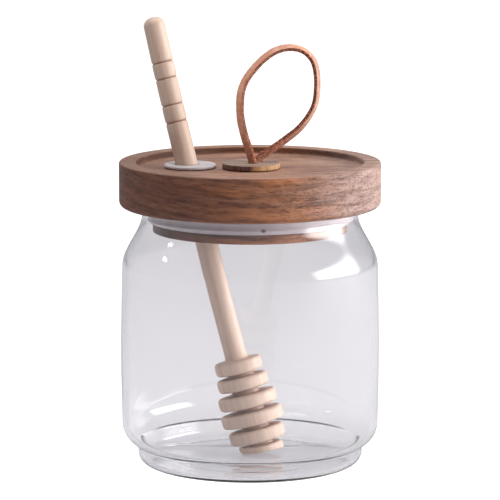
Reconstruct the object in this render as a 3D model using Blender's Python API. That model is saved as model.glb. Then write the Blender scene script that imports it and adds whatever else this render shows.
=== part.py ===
import math

import bmesh
import bpy
from mathutils import Vector

# Honey pot: a clear glass jar, a turned wooden lid with its seal, a grommet, a button,
# a leather loop, and a wooden dipper that leans through the lid to the jar's floor.
# Metres, +Z up, origin on the jar's axis at the plane it stands on.

GAP = 0.0003

# Jar
BODY_RADIUS_LOW = 0.04927
BODY_RADIUS_MID = 0.04958
BODY_RADIUS_TOP = 0.04899
WALL = 0.0018
FLOOR_TOP = 0.0024
UNDERSIDE_RISE = 0.0006
UNDERSIDE_FLAT = 0.0300
STANDING_RING = 0.0376
FOOT_RADIUS = 0.0432
FOOT_HEIGHT = 0.0072
FOOT_EDGE = 0.0046
BEND_LEAVES_FOOT_AT = math.radians(25)
BODY_START = 0.0158
SHOULDER_START = 0.0768
SHOULDER_END = 0.0967
NECK_RADIUS = 0.0413
RIM_TOP = 0.0993
JAR_SEGMENTS = 60

# Lid
LID_RADIUS = 0.0500
LID_TOP = 0.1167
LID_BOTTOM = RIM_TOP + GAP
LID_LOW_EDGE = 0.0023
LID_TOP_EDGE = 0.0006
RECESS_RADIUS = 0.0434
RECESS_DEPTH = 0.0029
RECESS_FILLET = 0.0014
PLUG_RADIUS = 0.0350
FLANGE_RADIUS = 0.0371
FLANGE_BOTTOM = 0.0899
FLANGE_TOP = 0.0935
FLANGE_EDGE = 0.0006
LID_SEGMENTS = 60

# Seal round the plug
SEAL_LIP = 0.0011
SEAL_LIP_HALF_HEIGHT = 0.00026
SEAL_LIP_SLOPE = 0.0008
SEAL_SEGMENTS = 48

# Button on the lid
BUTTON_X = 0.0004
BUTTON_RADIUS = 0.0110
BUTTON_THICKNESS = 0.00205
BUTTON_EDGE = 0.0003

# Dipper: a slightly bowed stick between two end points
DIPPER_FOOT = Vector((0.0049, -0.0072, 0.00435))
DIPPER_TIP = Vector((-0.0372, 0.0076, 0.1709))
DIPPER_BOW = 0.00115
HANDLE_RADIUS = 0.0042
HEAD_CORE_RADIUS = 0.0052
RING_EDGE = 0.0012
RING_FACE_SLOPE = 0.0003
RINGS = (
    # the ring's bottom and top above the foot end, ring radius
    (0, 0.0040, 0.0086),
    (0.0056, 0.0105, 0.0107),
    (0.01255, 0.01745, 0.01195),
    (0.01935, 0.02425, 0.01125),
    (0.0263, 0.0312, 0.0098),
    (0.0327, 0.0377, 0.00905),
)
GROOVES_FROM_TIP = (0.0174, 0.0237, 0.0340, 0.0407)
GROOVE_HALF_WIDTH = 0.0007
GROOVE_DEPTH = 0.0006
TIP_DOME = 0.0032
TIP_FULLNESS = 0.8
DIPPER_SEGMENTS = 24

# Grommet in the lid round the dipper
GROMMET_CENTRE = (-0.0229, 0.0025)
GROMMET_RADIUS = 0.0100
GROMMET_THICKNESS = 0.0013
BORE_RADIUS = HANDLE_RADIUS + 0.0004
SLEEVE_RADIUS = 0.0056
SLEEVE_LENGTH = 0.0070
SLEEVE_ABOVE_LID = 0.0006

# Leather lace, bent into a loop that stands on the button
LACE_RADIUS = 0.0015
LACE_HOLE_RADIUS = 0.00185
LACE_ROUTE = (
    (0.0009, -0.0016, 0.1149),
    (0.0009, -0.0016, 0.1168),
    (-0.0002, -0.0015, 0.1208),
    (-0.0016, -0.0012, 0.1248),
    (-0.0027, -0.0009, 0.1288),
    (-0.0036, -0.0005, 0.1334),
    (-0.0038, 0.0000, 0.1390),
    (-0.0032, 0.0003, 0.1439),
    (-0.0014, 0.0006, 0.1481),
    (0.0015, 0.0008, 0.1520),
    (0.0050, 0.0010, 0.1556),
    (0.0097, 0.0011, 0.1588),
    (0.0152, 0.0011, 0.1600),
    (0.0203, 0.0010, 0.1588),
    (0.0238, 0.0010, 0.1555),
    (0.0252, 0.0010, 0.1513),
    (0.0256, 0.0011, 0.1458),
    (0.0251, 0.0012, 0.1400),
    (0.0238, 0.0013, 0.1361),
    (0.0214, 0.0014, 0.1322),
    (0.0181, 0.0015, 0.1284),
    (0.0132, 0.0017, 0.1245),
    (0.0081, 0.0018, 0.1208),
    (0.0047, 0.0019, 0.1186),
    (0.0034, 0.0019, 0.1168),
    (0.0033, 0.0019, 0.1149),
)
LACE_STEP = 4 * LACE_RADIUS

# Worked out from the above
RECESS_FLOOR = LID_TOP - RECESS_DEPTH
BUTTON_BOTTOM = RECESS_FLOOR + GAP
DIPPER_AXIS = (DIPPER_TIP - DIPPER_FOOT).normalized()
DIPPER_LENGTH = (DIPPER_TIP - DIPPER_FOOT).length
UP = Vector((0, 0, 1))


def material(name, colour, roughness, transmission=0.0):
    mat = bpy.data.materials.new(name)
    mat.use_nodes = True
    shader = mat.node_tree.nodes["Principled BSDF"]
    shader.inputs["Base Color"].default_value = (*colour, 1)
    shader.inputs["Roughness"].default_value = roughness
    shader.inputs["Metallic"].default_value = 0
    shader.inputs["Transmission Weight"].default_value = transmission
    mat.diffuse_color = (*colour, 1)
    return mat


def finish(bm, name, mat):
    """Turns a bmesh into a smooth-shaded object with outward normals."""
    bmesh.ops.remove_doubles(bm, verts=bm.verts, dist=1e-6)
    bmesh.ops.recalc_face_normals(bm, faces=bm.faces)
    mesh = bpy.data.meshes.new(name)
    bm.to_mesh(mesh)
    bm.free()
    mesh.materials.append(mat)
    mesh.shade_smooth()
    mesh.set_sharp_from_angle(angle=math.radians(35))
    obj = bpy.data.objects.new(name, mesh)
    bpy.context.scene.collection.objects.link(obj)
    return obj


def turned(name, profile, segments, mat, closed=False):
    """Spins a profile of (radius, height) pairs about Z."""
    bm = bmesh.new()
    verts = [bm.verts.new((r, 0, z)) for r, z in profile]
    pairs = list(zip(verts, verts[1:]))
    if closed:
        pairs.append((verts[-1], verts[0]))
    edges = [bm.edges.new(pair) for pair in pairs]
    bmesh.ops.spin(
        bm, geom=verts + edges, axis=UP, cent=(0, 0, 0), angle=2 * math.pi, steps=segments
    )
    return finish(bm, name, mat)


def arc(centre, radius, start, end, steps):
    """Points of an arc, angles in degrees."""
    points = []
    for i in range(steps + 1):
        angle = math.radians(start + (end - start) * i / steps)
        points.append((centre[0] + radius * math.cos(angle), centre[1] + radius * math.sin(angle)))
    return points


def cutter(name, radius, depth, segments):
    """A hidden upright cylinder round its own origin."""
    bm = bmesh.new()
    bmesh.ops.create_cone(
        bm, cap_ends=True, segments=segments, radius1=radius, radius2=radius, depth=depth
    )
    mesh = bpy.data.meshes.new(name)
    bm.to_mesh(mesh)
    bm.free()
    obj = bpy.data.objects.new(name, mesh)
    obj.hide_render = True
    obj.display_type = "WIRE"
    bpy.context.scene.collection.objects.link(obj)
    return obj


def boolean(obj, other, operation):
    mod = obj.modifiers.new(other.name, "BOOLEAN")
    mod.object = other
    mod.operation = operation
    mod.solver = "EXACT"


def body_radius(z):
    """The body's outer radius: a parabola through its low, middle and top radii."""
    t = (z - BODY_START) / (SHOULDER_START - BODY_START)
    low = BODY_RADIUS_LOW * (1 - t) * (1 - 2 * t)
    return low + 4 * BODY_RADIUS_MID * t * (1 - t) + BODY_RADIUS_TOP * t * (2 * t - 1)


def jar_wall(bend_steps, shoulder_steps):
    """The outside of the jar from the crease above the foot to the neck."""
    points = []
    first = math.sin(BEND_LEAVES_FOOT_AT)
    rise = math.cos(BEND_LEAVES_FOOT_AT)
    for i in range(bend_steps + 1):
        angle = BEND_LEAVES_FOOT_AT + (math.pi / 2 - BEND_LEAVES_FOOT_AT) * i / bend_steps
        out = (math.sin(angle) - first) / (1 - first)
        up = (rise - math.cos(angle)) / rise
        r = FOOT_RADIUS + (BODY_RADIUS_LOW - FOOT_RADIUS) * out
        points.append((r, FOOT_HEIGHT + (BODY_START - FOOT_HEIGHT) * up))
    for i in range(1, 3):
        z = BODY_START + (SHOULDER_START - BODY_START) * i / 3
        points.append((body_radius(z), z))
    for i in range(shoulder_steps + 1):
        t = i / shoulder_steps
        ease = t * t * (3 - 2 * t)
        r = BODY_RADIUS_TOP + (NECK_RADIUS - BODY_RADIUS_TOP) * ease
        points.append((r, SHOULDER_START + (SHOULDER_END - SHOULDER_START) * t))
    return points


def set_in(points, distance):
    """Moves each point of an outline to its left by the distance, square to the outline."""
    moved = []
    for i, (r, z) in enumerate(points):
        before = points[max(i - 1, 0)]
        after = points[min(i + 1, len(points) - 1)]
        along = Vector((after[0] - before[0], after[1] - before[1])).normalized()
        moved.append((r - along.y * distance, z + along.x * distance))
    return moved


def jar_profile():
    """Outside from the underside up to the rim, then the inside down to the floor."""
    points = [(0, UNDERSIDE_RISE), (UNDERSIDE_FLAT, UNDERSIDE_RISE), (STANDING_RING, 0)]
    edge_centre = (FOOT_RADIUS - FOOT_EDGE, FOOT_EDGE)
    points += arc(edge_centre, FOOT_EDGE, -90, 0, 4)
    points += jar_wall(5, 7)
    middle = NECK_RADIUS - WALL / 2
    points += arc((middle, RIM_TOP - WALL / 2), WALL / 2, 0, 180, 4)
    inner = set_in(jar_wall(4, 5), WALL)
    points += inner[::-1]
    # The inside rounds the crease as one nose, then follows the foot down to the floor
    crease = (FOOT_RADIUS, FOOT_HEIGHT)
    nose_start = math.degrees(math.atan2(inner[0][1] - crease[1], inner[0][0] - crease[0]))
    points += arc(crease, WALL, nose_start, 180, 3)[1:]
    points += arc(edge_centre, FOOT_EDGE - WALL, 0, -90, 3)
    points += [(UNDERSIDE_FLAT, FLOOR_TOP), (0, FLOOR_TOP)]
    return points


def lid_profile():
    """From the middle of the plug's underside out and up to the middle of the recess."""
    points = [(0, FLANGE_BOTTOM)]
    low = FLANGE_BOTTOM + FLANGE_EDGE
    high = FLANGE_TOP - FLANGE_EDGE
    inset = FLANGE_RADIUS - FLANGE_EDGE
    points += arc((inset, low), FLANGE_EDGE, -90, 0, 2)
    points += arc((inset, high), FLANGE_EDGE, 0, 90, 2)
    points += [(PLUG_RADIUS, FLANGE_TOP), (PLUG_RADIUS, LID_BOTTOM)]
    points += arc(
        (LID_RADIUS - LID_LOW_EDGE, LID_BOTTOM + LID_LOW_EDGE), LID_LOW_EDGE, -90, 0, 4
    )
    points += arc((LID_RADIUS - LID_TOP_EDGE, LID_TOP - LID_TOP_EDGE), LID_TOP_EDGE, 0, 90, 2)
    points += arc((RECESS_RADIUS + LID_TOP_EDGE, LID_TOP - LID_TOP_EDGE), LID_TOP_EDGE, 90, 180, 2)
    points += arc(
        (RECESS_RADIUS - RECESS_FILLET, RECESS_FLOOR + RECESS_FILLET), RECESS_FILLET, 0, -90, 3
    )
    points.append((0, RECESS_FLOOR))
    return points


def seal_profile():
    """A band on the plug with two soft lips that press on the inside of the neck."""
    inner = PLUG_RADIUS + GAP
    outer = NECK_RADIUS - WALL - GAP
    groove = outer - SEAL_LIP
    low = FLANGE_TOP + GAP
    high = LID_BOTTOM - GAP
    points = [(inner, low), (groove, low)]
    for share in (1 / 4, 3 / 4):
        middle = low + (high - low) * share
        points.append((groove, middle - SEAL_LIP_HALF_HEIGHT - SEAL_LIP_SLOPE))
        points.append((outer, middle - SEAL_LIP_HALF_HEIGHT))
        points.append((outer, middle + SEAL_LIP_HALF_HEIGHT))
        points.append((groove, middle + SEAL_LIP_HALF_HEIGHT + SEAL_LIP_SLOPE))
    points += [(groove, high), (inner, high)]
    return points


def dipper_profile():
    """From the middle of the foot end up to the middle of the tip."""
    points = [(0, 0)]
    for bottom, top, radius in RINGS:
        if bottom:
            points.append((HEAD_CORE_RADIUS, bottom))
        points.append((radius - RING_EDGE, bottom + RING_FACE_SLOPE))
        points.append((radius, bottom + RING_FACE_SLOPE + RING_EDGE))
        points.append((radius, top - RING_FACE_SLOPE - RING_EDGE))
        points.append((radius - RING_EDGE, top - RING_FACE_SLOPE))
        points.append((HEAD_CORE_RADIUS, top))
    points.append((HANDLE_RADIUS, RINGS[-1][1] + RING_EDGE))
    for depth in reversed(GROOVES_FROM_TIP):
        height = DIPPER_LENGTH - depth
        points.append((HANDLE_RADIUS, height - GROOVE_HALF_WIDTH))
        points.append((HANDLE_RADIUS - GROOVE_DEPTH, height))
        points.append((HANDLE_RADIUS, height + GROOVE_HALF_WIDTH))
    for i in range(4):
        angle = math.pi / 2 * i / 4
        rise = TIP_DOME * math.sin(angle)
        points.append((HANDLE_RADIUS * math.cos(angle) ** TIP_FULLNESS, DIPPER_LENGTH - TIP_DOME + rise))
    points.append((0, DIPPER_LENGTH))
    return points


def place_on_dipper(obj, height):
    """Turns an object to the dipper's lean, with its origin on the bowed axis at the height."""
    t = height / DIPPER_LENGTH
    turn = UP.rotation_difference(DIPPER_AXIS)
    obj.rotation_mode = "QUATERNION"
    obj.rotation_quaternion = turn
    sideways = turn @ Vector((-DIPPER_BOW * 4 * t * (1 - t), 0, 0))
    obj.location = DIPPER_FOOT + DIPPER_AXIS * height + sideways


def smooth_route(route, step):
    """Even points along a smooth curve through the given ones."""
    points = [Vector(p) for p in route]
    ends = [2 * points[0] - points[1]] + points + [2 * points[-1] - points[-2]]
    fine = []
    for a, b, c, d in zip(ends, ends[1:], ends[2:], ends[3:]):
        for i in range(20):
            t = i / 20
            fine.append(
                0.5
                * (
                    2 * b
                    + (c - a) * t
                    + (2 * a - 5 * b + 4 * c - d) * t * t
                    + (3 * b - 3 * c + d - a) * t * t * t
                )
            )
    fine.append(points[-1])
    run = [0.0]
    for a, b in zip(fine, fine[1:]):
        run.append(run[-1] + (b - a).length)
    count = round(run[-1] / step)
    even = []
    j = 0
    for i in range(count + 1):
        target = run[-1] * i / count
        while j < len(run) - 2 and run[j + 1] < target:
            j += 1
        part = (target - run[j]) / (run[j + 1] - run[j])
        even.append(fine[j].lerp(fine[j + 1], part))
    return even


for old in list(bpy.data.objects):
    bpy.data.objects.remove(old)

glass = material("clear glass", (0.86, 0.86, 0.89), 0.03, 1.0)
brown_wood = material("brown oiled wood", (0.23, 0.12, 0.075), 0.5)
button_wood = material("button wood", (0.36, 0.22, 0.14), 0.55)
pale_wood = material("pale beech", (0.72, 0.55, 0.42), 0.55)
silicone = material("translucent silicone", (0.82, 0.80, 0.82), 0.35)
grommet_silicone = material("grommet silicone", (0.80, 0.82, 0.86), 0.3)
leather = material("tan leather", (0.42, 0.18, 0.10), 0.5)

# The jar and what closes it
turned("glass_jar", jar_profile(), JAR_SEGMENTS, glass)
lid = turned("lid", lid_profile(), LID_SEGMENTS, brown_wood)
turned("lid_seal", seal_profile(), SEAL_SEGMENTS, silicone, closed=True)

# The dipper, spun upright, bowed, then leaned
dipper = turned("dipper", dipper_profile(), DIPPER_SEGMENTS, pale_wood)
for vert in dipper.data.vertices:
    t = vert.co.z / DIPPER_LENGTH
    vert.co.x -= DIPPER_BOW * 4 * t * (1 - t)
dipper.rotation_mode = "QUATERNION"
dipper.rotation_quaternion = UP.rotation_difference(DIPPER_AXIS)
dipper.location = DIPPER_FOOT

# The leaning hole through the lid, one gap wider than the grommet's sleeve
at_lid = (RECESS_FLOOR - DIPPER_FOOT.z) / DIPPER_AXIS.z
hole = cutter("lid_hole_cutter", SLEEVE_RADIUS + GAP, 0.080, 32)
place_on_dipper(hole, at_lid - 0.010)
boolean(lid, hole, "DIFFERENCE")

# The grommet: a flat flange and a leaning sleeve, bored out together
flange_bottom = RECESS_FLOOR + GAP
round_edge = GROMMET_THICKNESS / 2
flange_profile = [(0, 0)]
flange_profile += arc((GROMMET_RADIUS - round_edge, round_edge), round_edge, -90, 90, 4)
flange_profile.append((0, GROMMET_THICKNESS))
grommet = turned("grommet", flange_profile, 32, grommet_silicone)
grommet.location = (*GROMMET_CENTRE, flange_bottom)
sleeve = cutter("grommet_sleeve", SLEEVE_RADIUS, SLEEVE_LENGTH, 32)
place_on_dipper(sleeve, at_lid + SLEEVE_ABOVE_LID - SLEEVE_LENGTH / 2)
bore = cutter("grommet_bore", BORE_RADIUS, 0.060, 28)
place_on_dipper(bore, at_lid)
boolean(grommet, sleeve, "UNION")
boolean(grommet, bore, "DIFFERENCE")

# The button with two small holes for the lace's ends
low = BUTTON_EDGE
button_profile = [
    (0, 0),
    (BUTTON_RADIUS - low, 0),
    (BUTTON_RADIUS, low),
    (BUTTON_RADIUS, BUTTON_THICKNESS - low),
    (BUTTON_RADIUS - low, BUTTON_THICKNESS),
    (0, BUTTON_THICKNESS),
]
button = turned("button", button_profile, 48, button_wood)
button.location = (BUTTON_X, 0, BUTTON_BOTTOM)
for index, end in enumerate((LACE_ROUTE[0], LACE_ROUTE[-1])):
    lace_hole = cutter(f"lace_hole_cutter_{index}", LACE_HOLE_RADIUS, 0.010, 20)
    lace_hole.location = (end[0], end[1], BUTTON_BOTTOM + BUTTON_THICKNESS / 2)
    boolean(button, lace_hole, "DIFFERENCE")

# The lace, a round tube on a smooth line through its route, with a straight stub in each hole
line = [Vector(LACE_ROUTE[0])]
line += smooth_route(LACE_ROUTE[1:-1], LACE_STEP)
line.append(Vector(LACE_ROUTE[-1]))
curve = bpy.data.curves.new("leather_loop", "CURVE")
curve.dimensions = "3D"
curve.bevel_depth = LACE_RADIUS
curve.bevel_resolution = 2
curve.use_fill_caps = True
spline = curve.splines.new("POLY")
spline.points.add(len(line) - 1)
for point, place in zip(spline.points, line):
    point.co = (*place, 1)
curve.materials.append(leather)
loop = bpy.data.objects.new("leather_loop", curve)
bpy.context.scene.collection.objects.link(loop)
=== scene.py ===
import math

import bmesh
import bpy
import numpy as np
from mathutils import Matrix, Vector


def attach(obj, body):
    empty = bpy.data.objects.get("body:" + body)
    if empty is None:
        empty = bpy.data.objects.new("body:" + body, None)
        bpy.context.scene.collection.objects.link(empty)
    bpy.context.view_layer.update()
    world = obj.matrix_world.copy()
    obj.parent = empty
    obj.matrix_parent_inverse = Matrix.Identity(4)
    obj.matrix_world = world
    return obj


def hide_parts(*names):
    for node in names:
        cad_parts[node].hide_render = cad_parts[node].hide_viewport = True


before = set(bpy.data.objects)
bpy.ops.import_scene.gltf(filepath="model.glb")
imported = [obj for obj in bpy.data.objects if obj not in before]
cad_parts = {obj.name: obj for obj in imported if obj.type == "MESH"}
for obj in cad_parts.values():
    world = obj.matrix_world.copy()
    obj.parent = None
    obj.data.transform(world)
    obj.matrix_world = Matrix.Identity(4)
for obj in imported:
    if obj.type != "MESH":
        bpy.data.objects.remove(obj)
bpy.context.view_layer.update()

scene = bpy.context.scene
up = Vector((0, 0, 1))


# camera, light and floor

print("camera and light")
cam = bpy.data.cameras.new("camera")
cam.sensor_width = 36
cam.lens = 247.5
cam.clip_end = 30
camera = bpy.data.objects.new("camera", cam)
camera.location = (0, -1.3, 0.2878)
camera.rotation_euler = (math.radians(90 - 8.98), 0, 0)
scene.collection.objects.link(camera)
scene.camera = camera
scene.view_settings.view_transform = "Standard"

world = bpy.data.worlds.new("studio")
world.use_nodes = True
scene.world = world


def softbox(name, place, aim, width, height, power, colour=(1, 1, 1)):
    lamp = bpy.data.lights.new(name, "AREA")
    lamp.shape = "RECTANGLE"
    lamp.size = width
    lamp.size_y = height
    lamp.energy = power
    lamp.color = colour
    obj = bpy.data.objects.new(name, lamp)
    obj.location = place
    obj.rotation_euler = (Vector(aim) - Vector(place)).to_track_quat("-Z", "Y").to_euler()
    scene.collection.objects.link(obj)
    return obj


key = softbox("key", (0.74, -0.04, 0.237), (0, 0, 0.09), 0.92, 0.468, 10.2, (1.0, 0.995, 0.985))
# light from the same side that only matt surfaces pick up, so the glass mirrors one low softbox
keyFill = softbox("key_fill", (0.74, -0.04, 0.325), (0, 0, 0.09), 0.92, 0.62, 4.3, (1.0, 0.995, 0.985))
keyFill.visible_glossy = False
keyFill.visible_transmission = False
softbox("overhead", (-0.16, 0.0, 1.15), (0, 0, 0.1), 0.8, 0.7, 9.4, (1.0, 0.985, 0.98))
leftLamp = softbox("left_small", (-0.78, 0.06, 0.52), (0, 0, 0.09), 0.075, 0.045, 0.22, (0.95, 0.97, 1.0))

floorMesh = bpy.data.meshes.new("floor")
floorMesh.from_pydata([(-6, -6, 0), (6, -6, 0), (6, 9, 0), (-6, 9, 0)], [], [(0, 1, 2, 3)])
floor = bpy.data.objects.new("floor", floorMesh)
floor.location.z = -0.0002
scene.collection.objects.link(floor)


# node helpers and the shared groups

def feed(tree, socket, value):
    # a socket takes a link from another node, or a plain value
    if isinstance(value, bpy.types.NodeSocket):
        tree.links.new(value, socket)
    else:
        socket.default_value = value


def addNode(tree, kind, settings=None, **inputs):
    node = tree.nodes.new(kind)
    for key, value in (settings or {}).items():
        setattr(node, key, value)
    for key, value in inputs.items():
        feed(tree, node.inputs[key.replace("_", " ")], value)
    return node


def math2(tree, operation, a, b=0.0):
    node = addNode(tree, "ShaderNodeMath", {"operation": operation})
    feed(tree, node.inputs[0], a)
    feed(tree, node.inputs[1], b)
    return node.outputs[0]


def times(tree, product, *others):
    for other in others:
        product = math2(tree, "MULTIPLY", product, other)
    return product


def vectorMath(tree, operation, a, b=None):
    node = addNode(tree, "ShaderNodeVectorMath", {"operation": operation})
    feed(tree, node.inputs[0], a)
    if b is not None:
        feed(tree, node.inputs["Scale" if operation == "SCALE" else 1], b)
    return node.outputs["Value" if operation in ("LENGTH", "DISTANCE") else "Vector"]


def ramp(tree, value, low, high, outLow=0.0, outHigh=1.0, smooth=True):
    node = addNode(tree, "ShaderNodeMapRange", {"interpolation_type": "SMOOTHSTEP" if smooth else "LINEAR"})
    names = ("Value", "From Min", "From Max", "To Min", "To Max")
    for name, number in zip(names, (value, low, high, outLow, outHigh)):
        feed(tree, node.inputs[name], number)
    return node.outputs["Result"]


def mixColour(tree, fac, a, b, blend="MIX"):
    node = addNode(tree, "ShaderNodeMix", {"data_type": "RGBA", "blend_type": blend, "clamp_factor": True})
    feed(tree, node.inputs[0], fac)
    for socket, colour in ((node.inputs[6], a), (node.inputs[7], b)):
        feed(tree, socket, (*colour, 1) if isinstance(colour, tuple) else colour)
    return node.outputs[2]


def greyColour(tree, value):
    return addNode(tree, "ShaderNodeCombineColor", Red=value, Green=value, Blue=value).outputs[0]


def noise(tree, vector, scale, detail, **more):
    node = addNode(tree, "ShaderNodeTexNoise", Vector=vector, Scale=scale, Detail=detail, **more)
    return node.outputs["Fac"]


def fromAxis(tree, parts, middleX=0.0):
    # how far a point lies from the upright line through middleX
    x = math2(tree, "SUBTRACT", parts["X"], middleX)
    level = addNode(tree, "ShaderNodeCombineXYZ", X=x, Y=parts["Y"], Z=0.0)
    return vectorMath(tree, "LENGTH", level.outputs[0])


def newGroup(name, inputs, outputs):
    group = bpy.data.node_groups.new(name, "ShaderNodeTree")
    for label, kind, value in inputs:
        socket = group.interface.new_socket(label, in_out="INPUT", socket_type=kind)
        if value is not None:
            socket.default_value = value
    for label, kind in outputs:
        group.interface.new_socket(label, in_out="OUTPUT", socket_type=kind)
    enter = group.nodes.new("NodeGroupInput")
    leave = group.nodes.new("NodeGroupOutput")
    return group, enter.outputs, leave.inputs


def useGroup(tree, group, **inputs):
    return addNode(tree, "ShaderNodeGroup", {"node_tree": group}, **inputs).outputs


# long grain: the vector's Z runs along the fibres
grain, gIn, gOut = newGroup(
    "long grain",
    [
        ("Vector", "NodeSocketVector", None),
        ("Streak Scale", "NodeSocketFloat", 420.0),
        ("Stretch", "NodeSocketFloat", 0.06),
        ("Waviness", "NodeSocketFloat", 0.004),
        ("Fibre Scale", "NodeSocketFloat", 2600.0),
        ("Pore Scale", "NodeSocketFloat", 4200.0),
        ("Pore Share", "NodeSocketFloat", 0.4),
    ],
    [("Streaks", "NodeSocketFloat"), ("Fibres", "NodeSocketFloat"), ("Pores", "NodeSocketFloat")],
)
t = grain
wobble = addNode(t, "ShaderNodeTexNoise", Vector=gIn["Vector"], Scale=45.0, Detail=2.0)
centred = vectorMath(t, "SUBTRACT", wobble.outputs["Color"], (0.5, 0.5, 0.5))
moved = vectorMath(t, "ADD", gIn["Vector"], vectorMath(t, "SCALE", centred, gIn["Waviness"]))
along = addNode(t, "ShaderNodeCombineXYZ", X=1.0, Y=1.0, Z=gIn["Stretch"])
flat = vectorMath(t, "MULTIPLY", moved, along.outputs[0])
streaks = noise(t, flat, gIn["Streak Scale"], 5.0, Roughness=0.66)
t.links.new(ramp(t, streaks, 0.36, 0.64), gOut["Streaks"])
fibres = noise(t, flat, gIn["Fibre Scale"], 3.0, Roughness=0.7)
t.links.new(ramp(t, fibres, 0.28, 0.72, smooth=False), gOut["Fibres"])
pores = noise(t, flat, gIn["Pore Scale"], 1.0)
poreFloor = math2(t, "SUBTRACT", 0.72, times(t, gIn["Pore Share"], 0.22))
t.links.new(ramp(t, pores, poreFloor, math2(t, "ADD", poreFloor, 0.07)), gOut["Pores"])

# growth rings: rounds about a line beside the board, wandering a little
growth, gIn, gOut = newGroup(
    "growth rings",
    [
        ("Vector", "NodeSocketVector", None),
        ("Heart", "NodeSocketVector", None),
        ("Spacing", "NodeSocketFloat", 0.003),
        ("Wander", "NodeSocketFloat", 0.006),
    ],
    [("Late Line", "NodeSocketFloat")],
)
t = growth
slow = vectorMath(t, "MULTIPLY", gIn["Vector"], (1, 1, 0.28))
drift = noise(t, slow, 42.0, 3.0, Roughness=0.55)
fromHeart = vectorMath(t, "SUBTRACT", gIn["Vector"], gIn["Heart"])
radius = vectorMath(t, "LENGTH", vectorMath(t, "MULTIPLY", fromHeart, (1, 1, 0)))
wandered = math2(t, "ADD", radius, times(t, drift, gIn["Wander"]))
phase = math2(t, "FRACT", math2(t, "DIVIDE", wandered, gIn["Spacing"]))
fall = ramp(t, phase, 0.0, 0.07, 1.0, 0.0)
rise = ramp(t, phase, 0.72, 1.0, 0.0, 1.0)
t.links.new(math2(t, "MAXIMUM", fall, rise), gOut["Late Line"])

# blotches: soft irregular patches with a settable share
blotch, bIn, bOut = newGroup(
    "blotches",
    [
        ("Vector", "NodeSocketVector", None),
        ("Scale", "NodeSocketFloat", 60.0),
        ("Share", "NodeSocketFloat", 0.4),
        ("Softness", "NodeSocketFloat", 0.12),
    ],
    [("Mask", "NodeSocketFloat")],
)
t = blotch
spots = noise(t, bIn["Vector"], bIn["Scale"], 3.0, Roughness=0.6)
edge = math2(t, "SUBTRACT", 0.72, times(t, bIn["Share"], 0.44))
maskFrom = math2(t, "SUBTRACT", edge, bIn["Softness"])
maskTo = math2(t, "ADD", edge, bIn["Softness"])
t.links.new(ramp(t, spots, maskFrom, maskTo), bOut["Mask"])

# band: 1 inside a range of a value, fading at both ends
band, dIn, dOut = newGroup(
    "band",
    [
        ("Value", "NodeSocketFloat", 0.0),
        ("Middle", "NodeSocketFloat", 0.0),
        ("Half Width", "NodeSocketFloat", 0.001),
        ("Fade", "NodeSocketFloat", 0.001),
    ],
    [("Mask", "NodeSocketFloat")],
)
t = band
away = math2(t, "ABSOLUTE", math2(t, "SUBTRACT", dIn["Value"], dIn["Middle"]))
bandEnd = math2(t, "ADD", dIn["Half Width"], dIn["Fade"])
t.links.new(ramp(t, away, dIn["Half Width"], bandEnd, 1.0, 0.0), dOut["Mask"])


def blotches(tree, vector, scale, share, softness):
    return useGroup(tree, blotch, Vector=vector, Scale=scale, Share=share, Softness=softness)["Mask"]


def inBand(tree, value, middle, halfWidth, fade):
    return useGroup(tree, band, Value=value, Middle=middle, Half_Width=halfWidth, Fade=fade)["Mask"]


def newMaterial(name):
    mat = bpy.data.materials.new(name)
    mat.use_nodes = True
    tree = mat.node_tree
    return mat, tree, tree.nodes["Principled BSDF"]


def objectVector(tree):
    return tree.nodes.new("ShaderNodeTexCoord").outputs["Object"]


def splitVector(tree, vector):
    return addNode(tree, "ShaderNodeSeparateXYZ", Vector=vector).outputs


def turnedVector(tree, vector, rotation, offset=(0, 0, 0)):
    node = addNode(tree, "ShaderNodeMapping", Vector=vector)
    node.inputs["Rotation"].default_value = rotation
    node.inputs["Location"].default_value = offset
    return node.outputs[0]


def bumpFrom(tree, height, strength, distance):
    return addNode(tree, "ShaderNodeBump", Height=height, Strength=strength, Distance=distance).outputs[0]


def linear(r, g, b):
    # from a screen colour of 0 to 255 to the renderer's own scale
    out = []
    for c in (r / 255, g / 255, b / 255):
        out.append(c / 12.92 if c <= 0.04045 else ((c + 0.055) / 1.055) ** 2.4)
    return tuple(out)


# the studio's walls: dim as a light, brighter in what the glass shows and mirrors
t = world.node_tree
spread = t.nodes.new("ShaderNodeLightPath").outputs["Is Diffuse Ray"]
wallTone = mixColour(t, spread, (0.55, 0.55, 0.575), (0.215, 0.205, 0.207))
t.links.new(wallTone, t.nodes["Background"].inputs["Color"])


def fadeEdges(lampObj, share):
    # the cloth of a softbox is dimmer along its border, so its mirror image ends softly
    lampObj.data.use_nodes = True
    t = lampObj.data.node_tree
    place = splitVector(t, t.nodes.new("ShaderNodeNewGeometry").outputs["Parametric"])
    fades = []
    for axis in ("X", "Y"):
        fromMiddle = math2(t, "ABSOLUTE", math2(t, "SUBTRACT", place[axis], 0.5))
        fades.append(ramp(t, fromMiddle, 0.5 - share, 0.5, 1.0, 0.0))
    t.links.new(times(t, *fades), t.nodes["Emission"].inputs["Strength"])


fadeEdges(key, 0.24)
fadeEdges(leftLamp, 0.3)

floorMat, t, shader = newMaterial("pale floor")
floorSpots = blotches(t, objectVector(t), 3.0, 0.5, 0.3)
floorTone = mixColour(t, floorSpots, (0.40, 0.40, 0.41), (0.41, 0.41, 0.42))
t.links.new(floorTone, shader.inputs["Base Color"])
shader.inputs["Roughness"].default_value = 0.9
# a lit sweep: pure white to the camera, a soft grey in what the jar shows and reflects
seen = t.nodes.new("ShaderNodeLightPath").outputs["Is Camera Ray"]
floorGlow = mixColour(t, seen, (0.28, 0.272, 0.29), (1.0, 1.0, 1.0))
t.links.new(floorGlow, shader.inputs["Emission Color"])
shader.inputs["Emission Strength"].default_value = 1.0
floorMesh.materials.append(floorMat)


# mesh helpers

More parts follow.
